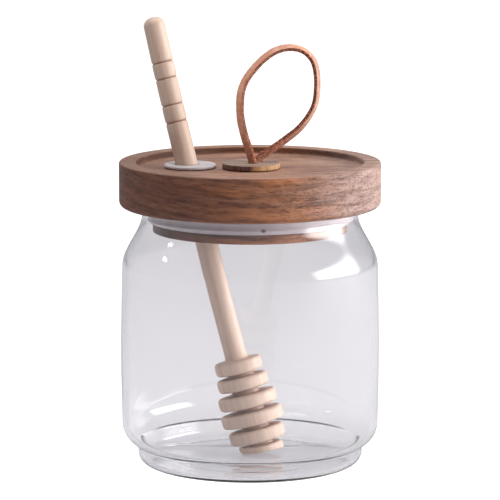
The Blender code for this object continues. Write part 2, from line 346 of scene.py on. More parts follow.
def arcPoints(centre, radius, start, end, steps):
    out = []
    for i in range(steps + 1):
        a = math.radians(start + (end - start) * i / steps)
        out.append((centre[0] + radius * math.cos(a), centre[1] + radius * math.sin(a)))
    return out


def link(name, mesh, mat, sharp=40):
    mesh.materials.append(mat)
    mesh.shade_smooth()
    mesh.set_sharp_from_angle(angle=math.radians(sharp))
    obj = bpy.data.objects.new(name, mesh)
    scene.collection.objects.link(obj)
    return obj


def meshFrom(name, verts, faces):
    mesh = bpy.data.meshes.new(name)
    mesh.from_pydata(verts, [], faces)
    bm = bmesh.new()
    bm.from_mesh(mesh)
    bmesh.ops.recalc_face_normals(bm, faces=bm.faces)
    bm.to_mesh(mesh)
    bm.free()
    return mesh


def spinMesh(name, profile, segments, closed=False):
    # profile points are (radius, height), and points on the axis become poles
    clean = [profile[0]]
    for p in profile[1:]:
        if math.dist(p, clean[-1]) > 2e-6:
            clean.append(p)
    if closed and math.dist(clean[0], clean[-1]) < 2e-6:
        clean.pop()
    verts = []
    rings = []
    for r, z in clean:
        if r < 1e-7:
            rings.append([len(verts)] * segments)
            verts.append((0, 0, z))
        else:
            rings.append(list(range(len(verts), len(verts) + segments)))
            for k in range(segments):
                a = 2 * math.pi * k / segments
                verts.append((r * math.cos(a), r * math.sin(a), z))
    faces = []
    pairs = list(zip(rings, rings[1:]))
    if closed:
        pairs.append((rings[-1], rings[0]))
    for low, high in pairs:
        for k in range(segments):
            n = (k + 1) % segments
            face = [low[k], low[n], high[n], high[k]]
            face = [v for i, v in enumerate(face) if v not in face[:i]]
            faces.append(face)
    return meshFrom(name, verts, faces)


def cylinder(name, radius, depth, segments=96):
    bm = bmesh.new()
    bmesh.ops.create_cone(bm, cap_ends=True, segments=segments, radius1=radius, radius2=radius, depth=depth)
    mesh = bpy.data.meshes.new(name)
    bm.to_mesh(mesh)
    bm.free()
    obj = bpy.data.objects.new(name, mesh)
    scene.collection.objects.link(obj)
    return obj


def carve(obj, tool, operation="DIFFERENCE"):
    # applies the boolean at once, and takes the tool away
    mod = obj.modifiers.new("carve", "BOOLEAN")
    mod.object = tool
    mod.operation = operation
    mod.solver = "EXACT"
    bpy.context.view_layer.update()
    graph = bpy.context.evaluated_depsgraph_get()
    mesh = bpy.data.meshes.new_from_object(obj.evaluated_get(graph))
    obj.modifiers.clear()
    old = obj.data
    obj.data = mesh
    mesh.name = obj.name
    bpy.data.meshes.remove(old)
    bpy.data.objects.remove(tool)


def finishPiece(obj, node):
    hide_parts(node)
    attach(obj, "root")
    return obj


# sizes shared by several pieces, in metres

gap = 0.0003
recessFloor = 0.1138
lidTop = 0.1167
lidBottom = 0.0996
dipperFoot = Vector((0.0049, -0.0072, 0.00435))
dipperTip = Vector((-0.0372, 0.0076, 0.1709))
dipperBow = 0.00115
dipperAxis = (dipperTip - dipperFoot).normalized()
dipperLength = (dipperTip - dipperFoot).length
dipperTurn = up.rotation_difference(dipperAxis)


def onDipper(height):
    t = height / dipperLength
    return dipperFoot + dipperAxis * height + dipperTurn @ Vector((-dipperBow * 4 * t * (1 - t), 0, 0))


def placeOnDipper(obj, height):
    obj.matrix_world = Matrix.Translation(onDipper(height)) @ dipperTurn.to_matrix().to_4x4()


atLid = (recessFloor - dipperFoot.z) / dipperAxis.z


# the leather lace, first because it is a cord

print("leather lace")
laceRoute = [
    (0.0009, -0.0016, 0.1149), (0.0009, -0.0016, 0.1168), (-0.0002, -0.0015, 0.1208),
    (-0.0016, -0.0012, 0.1248), (-0.0027, -0.0009, 0.1288), (-0.0036, -0.0005, 0.1334),
    (-0.0038, 0.0000, 0.1390), (-0.0032, 0.0003, 0.1439), (-0.0014, 0.0006, 0.1481),
    (0.0015, 0.0008, 0.1520), (0.0050, 0.0010, 0.1556), (0.0097, 0.0011, 0.1588),
    (0.0152, 0.0011, 0.1600), (0.0203, 0.0010, 0.1588), (0.0238, 0.0010, 0.1555),
    (0.0252, 0.0010, 0.1513), (0.0256, 0.0011, 0.1458), (0.0251, 0.0012, 0.1400),
    (0.0238, 0.0013, 0.1361), (0.0214, 0.0014, 0.1322), (0.0181, 0.0015, 0.1284),
    (0.0132, 0.0017, 0.1245), (0.0081, 0.0018, 0.1208), (0.0047, 0.0019, 0.1186),
    (0.0034, 0.0019, 0.1168), (0.0033, 0.0019, 0.1149),
]


def smoothLine(route, count):
    pts = [Vector(p) for p in route]
    ends = [2 * pts[0] - pts[1]] + pts + [2 * pts[-1] - pts[-2]]
    fine = []
    for a, b, c, d in zip(ends, ends[1:], ends[2:], ends[3:]):
        for i in range(24):
            t = i / 24
            point = 2 * b + (c - a) * t
            point = point + (2 * a - 5 * b + 4 * c - d) * t * t
            fine.append(0.5 * (point + (3 * b - 3 * c + d - a) * t ** 3))
    fine.append(pts[-1])
    run = [0.0]
    for a, b in zip(fine, fine[1:]):
        run.append(run[-1] + (b - a).length)
    wanted = np.linspace(0, run[-1], count)
    columns = [np.interp(wanted, run, [p[i] for p in fine]) for i in range(3)]
    return [Vector(p) for p in zip(*columns)], run[-1]


lacePath, laceLength = smoothLine(laceRoute, 150)

# a flat strip with rounded corners, bent on its flat side
# turns: how far the strip's outer side is turned to the front along its way, in degrees
# knots and wobble: how often and how much its width and its thickness change
lace = {
    "halfWidth": 0.00165, "halfThick": 0.00085, "sides": 32, "corner": 0.42, "pinchedEnd": 0.93,
    "widthKnots": 34, "thickKnots": 46, "widthWobble": 0.035, "thickWobble": 0.04,
    "turns": (
        (0, 54), (0.12, 46), (0.3, 38), (0.43, 32), (0.52, 15),
        (0.57, 23), (0.65, 27), (0.75, 28), (0.88, 42), (1, 56),
    ),
}


def laceSection(widthScale, thickScale):
    out = []
    for k in range(lace["sides"]):
        a = 2 * math.pi * (k + 0.5) / lace["sides"]
        c, s = math.cos(a), math.sin(a)
        x = math.copysign(abs(c) ** lace["corner"], c) * lace["halfWidth"] * widthScale
        y = math.copysign(abs(s) ** lace["corner"], s) * lace["halfThick"] * thickScale
        out.append((x, y))
    return out


def buildLace():
    verts = []
    rng = np.random.default_rng(7)
    way = np.linspace(0, 1, len(lacePath))
    wobbles = []
    for knots in (lace["widthKnots"], lace["thickKnots"]):
        wobbles.append(np.interp(way, np.linspace(0, 1, knots), rng.uniform(-1, 1, knots)))
    turnAt, turnBy = zip(*lace["turns"])
    last = len(lacePath) - 1
    for i, p in enumerate(lacePath):
        tangent = (lacePath[min(i + 1, last)] - lacePath[max(i - 1, 0)]).normalized()
        side = Vector((0, 1, 0)).cross(tangent).normalized()
        front = tangent.cross(side).normalized()
        twist = math.radians(90 + np.interp(i / last, turnAt, turnBy))
        c, w = math.cos(twist), math.sin(twist)
        across = side * c + front * w
        through = front * c - side * w
        pinch = lace["pinchedEnd"] if i in (0, last) else 1.0
        widthScale = pinch * (1 + lace["widthWobble"] * wobbles[0][i])
        thickScale = pinch * (1 + lace["thickWobble"] * wobbles[1][i])
        for x, y in laceSection(widthScale, thickScale):
            verts.append(p + across * x + through * y)
    n = lace["sides"]
    faces = []
    for i in range(last):
        for k in range(n):
            m = (k + 1) % n
            faces.append((i * n + k, i * n + m, (i + 1) * n + m, (i + 1) * n + k))
    faces.append(tuple(range(n - 1, -1, -1)))
    faces.append(tuple(last * n + k for k in range(n)))
    mesh = meshFrom("leather_lace", verts, faces)
    # U runs round the section, V along the lace in metres
    layer = mesh.uv_layers.new(name="lace")
    for poly in mesh.polygons:
        for index in poly.loop_indices:
            v = mesh.loops[index].vertex_index
            layer.data[index].uv = ((v % n) / n, (v // n) / last * laceLength)
    for poly in mesh.polygons:
        us = [layer.data[i].uv[0] for i in poly.loop_indices]
        if len(us) == 4 and max(us) - min(us) > 0.5:
            for i in poly.loop_indices:
                if layer.data[i].uv[0] < 0.5:
                    layer.data[i].uv[0] += 1
    return mesh


leather = {
    "pale": (206, 138, 110), "light": (232, 176, 146), "brown": (152, 112, 94), "brownLight": (184, 142, 122),
    "raw": (112, 54, 40), "rawLight": (214, 138, 98), "speck": (228, 168, 134),
}


def leatherMaterial():
    mat, t, shader = newMaterial("tan leather")
    where = objectVector(t)
    uv = t.nodes.new("ShaderNodeUVMap")
    uv.uv_map = "lace"
    place = splitVector(t, uv.outputs[0])
    u, run = place["X"], place["Y"]
    # the section's narrow sides lie at u = 0 and 0.5, and 1 is 0 again
    cut = inBand(t, u, 0.0, 0.075, 0.045)
    for middle in (0.5, 1.0):
        cut = math2(t, "MAXIMUM", cut, inBand(t, u, middle, 0.075, 0.045))
    tone = blotches(t, where, 420.0, 0.5, 0.2)
    speck = blotches(t, where, 2100.0, 0.36, 0.05)
    face = mixColour(t, tone, linear(*leather["pale"]), linear(*leather["light"]))
    # past the top of the loop the face turns browner and darker, and both ends are rougher
    far = ramp(t, run, 0.058, 0.070)
    browner = mixColour(t, tone, linear(*leather["brown"]), linear(*leather["brownLight"]))
    face = mixColour(t, times(t, far, 0.85), face, browner)
    raw = mixColour(t, speck, linear(*leather["raw"]), linear(*leather["rawLight"]))
    nearEnd = ramp(t, run, 0.004, 0.018, 0.62, 0.0)
    farEnd = ramp(t, run, 0.086, 0.108, 0.0, 0.68)
    cut = math2(t, "MAXIMUM", cut, math2(t, "MAXIMUM", nearEnd, farEnd))
    colour = mixColour(t, cut, face, raw)
    colour = mixColour(t, times(t, speck, 0.35), colour, linear(*leather["speck"]))
    t.links.new(colour, shader.inputs["Base Color"])
    t.links.new(ramp(t, cut, 0, 1, 0.42, 0.85), shader.inputs["Roughness"])
    crease = addNode(t, "ShaderNodeTexVoronoi", {"feature": "DISTANCE_TO_EDGE"}, Vector=where, Scale=1500.0)
    height = math2(t, "ADD", times(t, crease.outputs["Distance"], 0.6), speck)
    t.links.new(bumpFrom(t, height, 0.5, 0.00012), shader.inputs["Normal"])
    return mat


laceObj = link("leather_lace", buildLace(), leatherMaterial(), 60)
finishPiece(laceObj, "leather_loop")


# glass jar

print("glass jar")
jar = {
    "low": 0.04927, "mid": 0.04958, "top": 0.04899,
    "wall": 0.0018, "floorTop": 0.0024, "rise": 0.0006, "flat": 0.0300, "ring": 0.0376,
    "foot": 0.0432, "crease": 0.0072, "edge": 0.0046, "start": 0.0158, "bendFrom": math.radians(25),
    "shoulder": 0.0768, "neckStart": 0.0967, "neck": 0.0413, "rim": 0.0993,
    "belowCrease": 0.0009, "creaseRound": 0.0005,
}


def ease(t):
    return t * t * (3 - 2 * t)


def bodyRadius(z):
    t = (z - jar["start"]) / (jar["shoulder"] - jar["start"])
    return jar["low"] * (1 - t) * (1 - 2 * t) + 4 * jar["mid"] * t * (1 - t) + jar["top"] * t * (2 * t - 1)


def jarWall():
    pts = []
    first, rise = math.sin(jar["bendFrom"]), math.cos(jar["bendFrom"])
    for i in range(29):
        a = jar["bendFrom"] + (math.pi / 2 - jar["bendFrom"]) * i / 28
        out = (math.sin(a) - first) / (1 - first)
        lift = (rise - math.cos(a)) / rise
        r = jar["foot"] + (jar["low"] - jar["foot"]) * out
        pts.append((r, jar["crease"] + (jar["start"] - jar["crease"]) * lift))
    for i in range(1, 20):
        z = jar["start"] + (jar["shoulder"] - jar["start"]) * i / 20
        pts.append((bodyRadius(z), z))
    for i in range(41):
        t = i / 40
        r = jar["top"] + (jar["neck"] - jar["top"]) * ease(t)
        pts.append((r, jar["shoulder"] + (jar["neckStart"] - jar["shoulder"]) * t))
    return pts


def setIn(pts, distance):
    out = []
    for i, (r, z) in enumerate(pts):
        before, after = pts[max(i - 1, 0)], pts[min(i + 1, len(pts) - 1)]
        way = Vector((after[0] - before[0], after[1] - before[1])).normalized()
        out.append((r - way.y * distance, z + way.x * distance))
    return out


def roundCorner(pts, index, radius, steps=6):
    # replaces one point of a profile with a small curve
    a, b, c = (Vector(pts[i]) for i in (index - 1, index, index + 1))
    one = b + (a - b).normalized() * min(radius, (a - b).length * 0.9)
    two = b + (c - b).normalized() * min(radius, (c - b).length * 0.9)
    curve = []
    for i in range(steps + 1):
        t = i / steps
        curve.append(tuple(one * (1 - t) ** 2 + b * 2 * t * (1 - t) + two * t * t))
    return pts[:index] + curve + pts[index + 1:]


def jarProfile():
    centre = (jar["foot"] - jar["edge"], jar["edge"])
    floorRings = (0.006, 0.012, 0.018, 0.024)
    outer = [(0, jar["rise"])] + [(r, jar["rise"]) for r in floorRings]
    # the underside eases from the hollow middle to the standing ring
    for i in range(9):
        t = i / 8
        outer.append((jar["flat"] + (jar["ring"] - jar["flat"]) * t, jar["rise"] * (1 - ease(t))))
    outer += arcPoints(centre, jar["edge"], -90, 0, 20)
    outer.append((jar["foot"], jar["crease"] - jar["belowCrease"]))
    creaseAt = len(outer)
    wall = jarWall()
    outer += wall
    outer = roundCorner(outer, creaseAt, jar["creaseRound"])
    middle = jar["neck"] - jar["wall"] / 2
    rim = arcPoints((middle, jar["rim"] - jar["wall"] / 2), jar["wall"] / 2, 0, 180, 14)
    inner = setIn(wall, jar["wall"])
    nose = (jar["foot"], jar["crease"])
    noseFrom = math.degrees(math.atan2(inner[0][1] - nose[1], inner[0][0] - nose[0]))
    inner = inner[::-1] + arcPoints(nose, jar["wall"], noseFrom, 180, 12)[1:]
    inner += arcPoints(centre, jar["edge"] - jar["wall"], 0, -90, 14)
    for i in range(1, 9):
        t = i / 8
        r = centre[0] + (jar["flat"] - centre[0]) * t
        inner.append((r, jar["wall"] + (jar["floorTop"] - jar["wall"]) * ease(t)))
    inner += [(r, jar["floorTop"]) for r in floorRings[::-1] + (0,)]
    return outer + rim + inner


def glassMaterial():
    mat, t, shader = newMaterial("clear glass")
    where = objectVector(t)
    waves = noise(t, where, 26.0, 1.0)
    smudge = blotches(t, where, 70.0, 0.35, 0.25)
    glassTone = mixColour(t, smudge, (0.985, 0.983, 0.99), (0.975, 0.974, 0.982))
    t.links.new(glassTone, shader.inputs["Base Color"])
    shader.inputs["Transmission Weight"].default_value = 1.0
    shader.inputs["IOR"].default_value = 1.47
    t.links.new(ramp(t, smudge, 0, 1, 0.0, 0.025), shader.inputs["Roughness"])
    t.links.new(bumpFrom(t, waves, 0.06, 0.002), shader.inputs["Normal"])
    # lets the lamps' light through the walls, as thin glass does
    lightPath = t.nodes.new("ShaderNodeLightPath")
    clear = addNode(t, "ShaderNodeBsdfTransparent", Color=(0.89, 0.89, 0.90, 1))
    mix = t.nodes.new("ShaderNodeMixShader")
    t.links.new(lightPath.outputs["Is Shadow Ray"], mix.inputs[0])
    t.links.new(shader.outputs[0], mix.inputs[1])
    t.links.new(clear.outputs[0], mix.inputs[2])
    t.links.new(mix.outputs[0], t.nodes["Material Output"].inputs["Surface"])
    return mat


jarObj = link("jar_glass", spinMesh("jar_glass", jarProfile(), 224), glassMaterial(), 60)
finishPiece(jarObj, "glass_jar")


# wooden lid

print("lid")
lidSize = {
    "radius": 0.0500, "lowEdge": 0.0023, "topEdge": 0.0007, "recess": 0.0434, "fillet": 0.0014,
    "plug": 0.0350, "plugMiddle": 0.0965, "bore": 0.0059,
    "flange": 0.0371, "flangeLow": 0.0899, "flangeTop": 0.0935, "flangeEdge": 0.0006,
}


def ringSteps(a, b, z, count):
    return [(a + (b - a) * i / count, z) for i in range(1, count)]


def lidProfile():
    s = lidSize
    flangeIn = s["flange"] - s["flangeEdge"]
    pts = [(0, s["flangeLow"])] + ringSteps(0, flangeIn, s["flangeLow"], 6)
    pts += arcPoints((flangeIn, s["flangeLow"] + s["flangeEdge"]), s["flangeEdge"], -90, 0, 6)
    pts += arcPoints((flangeIn, s["flangeTop"] - s["flangeEdge"]), s["flangeEdge"], 0, 90, 6)
    pts += [(s["plug"], s["flangeTop"]), (s["plug"], s["plugMiddle"]), (s["plug"], lidBottom)]
    pts += ringSteps(s["plug"], s["radius"] - s["lowEdge"], lidBottom, 3)
    pts += arcPoints((s["radius"] - s["lowEdge"], lidBottom + s["lowEdge"]), s["lowEdge"], -90, 0, 14)
    sideHeight = lidTop - lidBottom - s["lowEdge"] - s["topEdge"]
    for i in range(1, 6):
        pts.append((s["radius"], lidBottom + s["lowEdge"] + sideHeight * i / 6))
    pts += arcPoints((s["radius"] - s["topEdge"], lidTop - s["topEdge"]), s["topEdge"], 0, 90, 8)
    pts += ringSteps(s["radius"] - s["topEdge"], s["recess"] + s["topEdge"], lidTop, 3)
    pts += arcPoints((s["recess"] + s["topEdge"], lidTop - s["topEdge"]), s["topEdge"], 90, 180, 8)
    pts += arcPoints((s["recess"] - s["fillet"], recessFloor + s["fillet"]), s["fillet"], 0, -90, 10)
    pts += ringSteps(s["recess"] - s["fillet"], 0, recessFloor, 8)
    pts.append((0, recessFloor))
    return pts


# flatFrom and flatTo: how far a face looks up before it counts as a flat top
brown = {
    "dark": (88, 58, 49), "light": (144, 102, 84), "warm": (178, 116, 79), "curl": (196, 148, 120),
    "paleSheenDark": (158, 133, 126), "paleSheenLight": (184, 162, 154), "ringLine": (74, 47, 39),
    "litTopDark": (140, 110, 97), "litTopLight": (176, 146, 130), "wall": (58, 38, 32), "pore": (66, 42, 35),
    "flatFrom": 0.5, "flatTo": 0.9,
}


def brownWood():
    mat, t, shader = newMaterial("brown oiled wood")
    # the board's fibres run left to right, dipping a little
    where = objectVector(t)
    parts = splitVector(t, where)
    x = parts["X"]
    turned = turnedVector(t, where, (0, math.radians(87.5), math.radians(3)), (0.31, 0.12, 0.07))
    facing = splitVector(t, t.nodes.new("ShaderNodeNewGeometry").outputs["Normal"])["Z"]
    flatness = (facing, brown["flatFrom"], brown["flatTo"])
    # slow change from front to back keeps the streaks level round the turned side, and less so on top
    depth = addNode(t, "ShaderNodeCombineXYZ", X=1.0, Y=ramp(t, *flatness, 0.2, 0.62), Z=1.0)
    vec = vectorMath(t, "MULTIPLY", turned, depth.outputs[0])
    fig = useGroup(
        t, grain, Vector=vec, Streak_Scale=520.0, Stretch=0.05, Waviness=0.003,
        Fibre_Scale=1500.0, Pore_Scale=2100.0, Pore_Share=0.55,
    )
    beside = turnedVector(t, vec, (0, 0, 0), (0.6, 0.2, 0.9))
    wide = useGroup(t, grain, Vector=beside, Streak_Scale=210.0, Stretch=0.11, Waviness=0.006)
    rings = useGroup(t, growth, Vector=vec, Heart=(0.33, 0.02, 0.0), Spacing=0.0052, Wander=0.018)
    drawn = vectorMath(t, "MULTIPLY", turned, (1, 0.35, 0.42))
    curl = noise(t, drawn, 620.0, 3.0, Roughness=0.6, Distortion=0.7)
    speck = noise(t, drawn, 1900.0, 2.0, Roughness=0.6)
    # where the board's figure changes: quiet left end, warm middle, pale finely specked right end; the left
    # end is darkened further down as painted shade, and the pale right end is partly painted sheen
    warmth = times(t, ramp(t, x, -0.03, 0.004, 0.2, 1.0), ramp(t, x, 0.018, 0.04, 1.0, 0.45))
    figured = times(t, ramp(t, x, -0.012, 0.016), ramp(t, curl, 0.42, 0.6))
    quiet = ramp(t, x, -0.04, 0.0, 0.45, 1.0)
    streaks = math2(t, "ADD", times(t, math2(t, "SUBTRACT", fig["Streaks"], 0.5), quiet), 0.5)
    colour = mixColour(t, streaks, linear(*brown["dark"]), linear(*brown["light"]))
    colour = mixColour(t, times(t, wide["Streaks"], warmth, 0.85), colour, linear(*brown["warm"]))
    colour = mixColour(t, times(t, figured, 0.28), colour, linear(*brown["curl"]))
    # partly the wood's pale end and partly painted sheen: the right end is paler where the key lamp grazes it
    pale = mixColour(t, streaks, linear(*brown["paleSheenDark"]), linear(*brown["paleSheenLight"]))
    colour = mixColour(t, ramp(t, x, 0.012, 0.046, 0.0, 0.72), colour, pale)
    colour = mixColour(t, times(t, rings["Late Line"], 0.3), colour, linear(*brown["ringLine"]))
    # painted light: the flat faces on top are lighter and greyer than the turned sides, standing in for light
    # and sheen from above
    litTop = mixColour(t, streaks, linear(*brown["litTopDark"]), linear(*brown["litTopLight"]))
    colour = mixColour(t, times(t, ramp(t, *flatness), 0.6), colour, litTop)
    # painted shade: the recess's wall at the back is darkened
    atWall = inBand(t, fromAxis(t, parts), lidSize["recess"], 0.0008, 0.0006)
    backWallShade = times(t, atWall, ramp(t, parts["Y"], 0.004, 0.03), ramp(t, *flatness, 1.0, 0.0))
    colour = mixColour(t, times(t, backWallShade, 0.62), colour, linear(*brown["wall"]))
    shade = ramp(t, fig["Fibres"], 0, 1, 0.8, 1.16, smooth=False)
    # painted shade: the left side is darker, away from the key lamp on the right
    shade = times(t, shade, ramp(t, x, -0.05, 0.004, 0.8, 1.0))
    colour = mixColour(t, 1.0, colour, greyColour(t, shade), "MULTIPLY")
    specks = times(t, ramp(t, speck, 0.56, 0.64), ramp(t, x, 0.0, 0.02, 0.12, 0.5))
    specks = times(t, specks, ramp(t, *flatness, 1.0, 0.35))
    dark = math2(t, "MAXIMUM", specks, times(t, fig["Pores"], 0.5))
    colour = mixColour(t, dark, colour, linear(*brown["pore"]))
    t.links.new(colour, shader.inputs["Base Color"])
    t.links.new(ramp(t, fig["Fibres"], 0, 1, 0.68, 0.54, smooth=False), shader.inputs["Roughness"])
    shader.inputs["Specular IOR Level"].default_value = 0.2
    height = math2(t, "SUBTRACT", times(t, fig["Fibres"], 0.5), fig["Pores"])
    t.links.new(bumpFrom(t, height, 0.4, 0.0001), shader.inputs["Normal"])
    return mat


lidMat = brownWood()
lidObj = link("turned_lid", spinMesh("turned_lid", lidProfile(), 240), lidMat, 40)
boreTool = cylinder("bore_tool", lidSize["bore"], 0.080)
placeOnDipper(boreTool, atLid - 0.010)
carve(lidObj, boreTool)
finishPiece(lidObj, "lid")


# silicone seal round the plug

print("seal and grommet")
# lips: how far up each rounded lip lies, as a share of the seal's height
seal = {
    "inner": 0.0353, "outer": 0.0392, "groove": 0.0380, "low": 0.0938, "high": 0.0993,
    "lips": (0.27, 0.76), "lipSpread": 0.13, "spotAt": (0.0049, -0.0387, 0.0957), "spot": (70, 58, 62),
}


def sealProfile():
    s = seal
    span = s["high"] - s["low"]
    pts = [(s["inner"], s["low"]), (s["groove"], s["low"])]
    for i in range(1, 40):
        u = i / 40
        lip = max(math.exp(-((u - middle) / s["lipSpread"]) ** 2) for middle in s["lips"])
        pts.append((s["groove"] + (s["outer"] - s["groove"]) * lip, s["low"] + span * u))
    pts += [(s["groove"], s["high"]), (s["inner"], s["high"])]
    return pts


def siliconeMaterial(name, colour, edgeColour, subsurface, clear=0.0, spot=None):
    mat, t, shader = newMaterial(name)
    where = objectVector(t)
    cloud = blotches(t, where, 90.0, 0.5, 0.3)
    dust = blotches(t, where, 1900.0, 0.12, 0.03)
    base = mixColour(t, cloud, colour, edgeColour)
    base = mixColour(t, times(t, dust, 0.25), base, (0.9, 0.9, 0.9))
    if spot:
        mark = ramp(t, vectorMath(t, "DISTANCE", where, spot), 0.0004, 0.0013, 0.85, 0.0)
        base = mixColour(t, mark, base, linear(*seal["spot"]))
    t.links.new(base, shader.inputs["Base Color"])
    t.links.new(ramp(t, cloud, 0, 1, 0.28, 0.42), shader.inputs["Roughness"])
    shader.inputs["Transmission Weight"].default_value = clear
    shader.inputs["Subsurface Weight"].default_value = subsurface
    shader.inputs["Subsurface Radius"].default_value = (0.004, 0.004, 0.004)
    shader.inputs["Subsurface Scale"].default_value = 0.5
    shader.inputs["IOR"].default_value = 1.41
    fine = noise(t, where, 900.0, 2.0)
    t.links.new(bumpFrom(t, fine, 0.08, 0.0001), shader.inputs["Normal"])
    return mat


sealMat = siliconeMaterial(
    "translucent silicone", linear(222, 212, 214), linear(206, 197, 200), 0.6, spot=seal["spotAt"]
)
sealObj = link("silicone_seal", spinMesh("silicone_seal", sealProfile(), 192, closed=True), sealMat, 50)
finishPiece(sealObj, "lid_seal")


# grommet

grommet = {
    "x": -0.0229, "y": 0.0025, "radius": 0.0100, "thick": 0.0013, "bore": 0.0046, "sleeve": 0.0056,
    "length": 0.0070, "sink": 0.00015, "dishFrom": 0.0080, "dishTo": 0.0062,
}


def grommetProfile():
    g = grommet
    half = g["thick"] / 2
    top = g["thick"] - g["sink"]
    pts = [(0, 0)] + ringSteps(0, g["radius"] - half, 0.0, 4)
    pts += arcPoints((g["radius"] - half, half), half, -90, 90, 16)
    pts += [(g["dishFrom"], g["thick"]), (0.0070, g["thick"] - g["sink"] / 3), (g["dishTo"], top)]
    pts += [(0.0045, top), (0.002, top), (0, top)]
    return pts


grommetMat = siliconeMaterial("grommet silicone", linear(236, 230, 232), linear(216, 208, 212), 0.5, 0.4)
grommetObj = link("grommet_ring", spinMesh("grommet_ring", grommetProfile(), 128), grommetMat, 40)
grommetObj.matrix_world = Matrix.Translation((grommet["x"], grommet["y"], recessFloor + gap))
sleeveTool = cylinder("sleeve_tool", grommet["sleeve"], grommet["length"])
placeOnDipper(sleeveTool, atLid + 0.0006 - grommet["length"] / 2)
carve(grommetObj, sleeveTool, "UNION")
boreTool = cylinder("bore_tool", grommet["bore"], 0.060)
placeOnDipper(boreTool, atLid)
carve(grommetObj, boreTool)
finishPiece(grommetObj, "grommet")


# button

print("button")
button = {"x": 0.0004, "radius": 0.0110, "thick": 0.00205, "edge": 0.00028, "hole": 0.00185}


def buttonProfile():
    b = button
    pts = [(0, 0)] + ringSteps(0, b["radius"] - b["edge"], 0.0, 4)
    pts += arcPoints((b["radius"] - b["edge"], b["edge"]), b["edge"], -90, 0, 5)
    for i in range(1, 4):
        pts.append((b["radius"], b["edge"] + (b["thick"] - 2 * b["edge"]) * i / 4))
    pts += arcPoints((b["radius"] - b["edge"], b["thick"] - b["edge"]), b["edge"], 0, 90, 5)
    pts += ringSteps(b["radius"] - b["edge"], 0, b["thick"], 6) + [(0, b["thick"])]
    return pts


sawn = {
    "topDark": (118, 95, 82), "topLight": (158, 134, 119), "dark": (76, 51, 42), "darkLight": (112, 80, 66),
    "straw": (166, 122, 84), "strawLight": (206, 164, 116), "pore": (60, 42, 34),
}


def buttonMaterial():
    mat, t, shader = newMaterial("button wood")
    where = objectVector(t)
    parts = splitVector(t, where)
    vec = turnedVector(t, where, (0, math.radians(84), math.radians(12)), (0.05, 0.4, 0.2))
    fig = useGroup(
        t, grain, Vector=vec, Streak_Scale=520.0, Stretch=0.1, Waviness=0.003,
        Fibre_Scale=2600.0, Pore_Scale=3600.0, Pore_Share=0.4,
    )
    top = mixColour(t, fig["Streaks"], linear(*sawn["topDark"]), linear(*sawn["topLight"]))
    # the sawn side is dark on the left and straw-coloured on the right
    squeezed = times(t, parts["Z"], 0.12)
    upright = addNode(t, "ShaderNodeCombineXYZ", X=parts["X"], Y=parts["Y"], Z=squeezed)
    ticks = ramp(t, noise(t, upright.outputs[0], 1700.0, 2.0), 0.38, 0.6)
    darkSide = mixColour(t, ticks, linear(*sawn["dark"]), linear(*sawn["darkLight"]))
    strawSide = mixColour(t, ticks, linear(*sawn["straw"]), linear(*sawn["strawLight"]))
    side = mixColour(t, ramp(t, parts["X"], -0.001, 0.0045), darkSide, strawSide)
    isSide = inBand(t, parts["Z"], recessFloor + gap + 0.0008, 0.00095, 0.0002)
    outer = ramp(t, fromAxis(t, parts, button["x"]), 0.0103, 0.0107)
    colour = mixColour(t, times(t, isSide, outer), top, side)
    colour = mixColour(t, times(t, fig["Pores"], 0.4), colour, linear(*sawn["pore"]))
    t.links.new(colour, shader.inputs["Base Color"])
    t.links.new(ramp(t, fig["Fibres"], 0, 1, 0.65, 0.5, smooth=False), shader.inputs["Roughness"])
    t.links.new(bumpFrom(t, fig["Fibres"], 0.3, 0.0001), shader.inputs["Normal"])
    return mat


buttonMesh = spinMesh("lid_button", buttonProfile(), 160)
buttonMesh.transform(Matrix.Translation((button["x"], 0, recessFloor + gap)))
buttonObj = link("lid_button", buttonMesh, buttonMaterial(), 40)
for x, y, z in (laceRoute[0], laceRoute[-1]):
    holeTool = cylinder("hole_tool", button["hole"], 0.010, 48)
    holeTool.location = (x, y, recessFloor + 0.001)
    carve(buttonObj, holeTool)
finishPiece(buttonObj, "button")


# dipper

print("dipper")
# swell: how much a ring or a bead stands out in its middle
# the notch's numbers are its half width, its half width lower down, its depth and its floor's half width
dip = {
    "handle": 0.0042, "core": 0.0052, "round": 0.0012, "dome": 0.0032, "swell": 0.00006, "taper": 0.00012,
    "slotCorner": 0.0002, "neckLength": 0.003, "notch": 0.0008, "notchLow": 0.0004, "notchDepth": 0.00042,
    "notchFloor": 0.00008, "beforeMarks": 0.002,
}
# each ring's bottom, top and radius
rings = [
    (0.0, 0.0040, 0.0086), (0.0056, 0.0105, 0.0107), (0.01255, 0.01745, 0.01195),
    (0.01935, 0.02425, 0.01125), (0.0263, 0.0312, 0.0098), (0.0327, 0.0377, 0.00905),
]
tipGrooves = (0.0174, 0.0237, 0.0340, 0.0407)


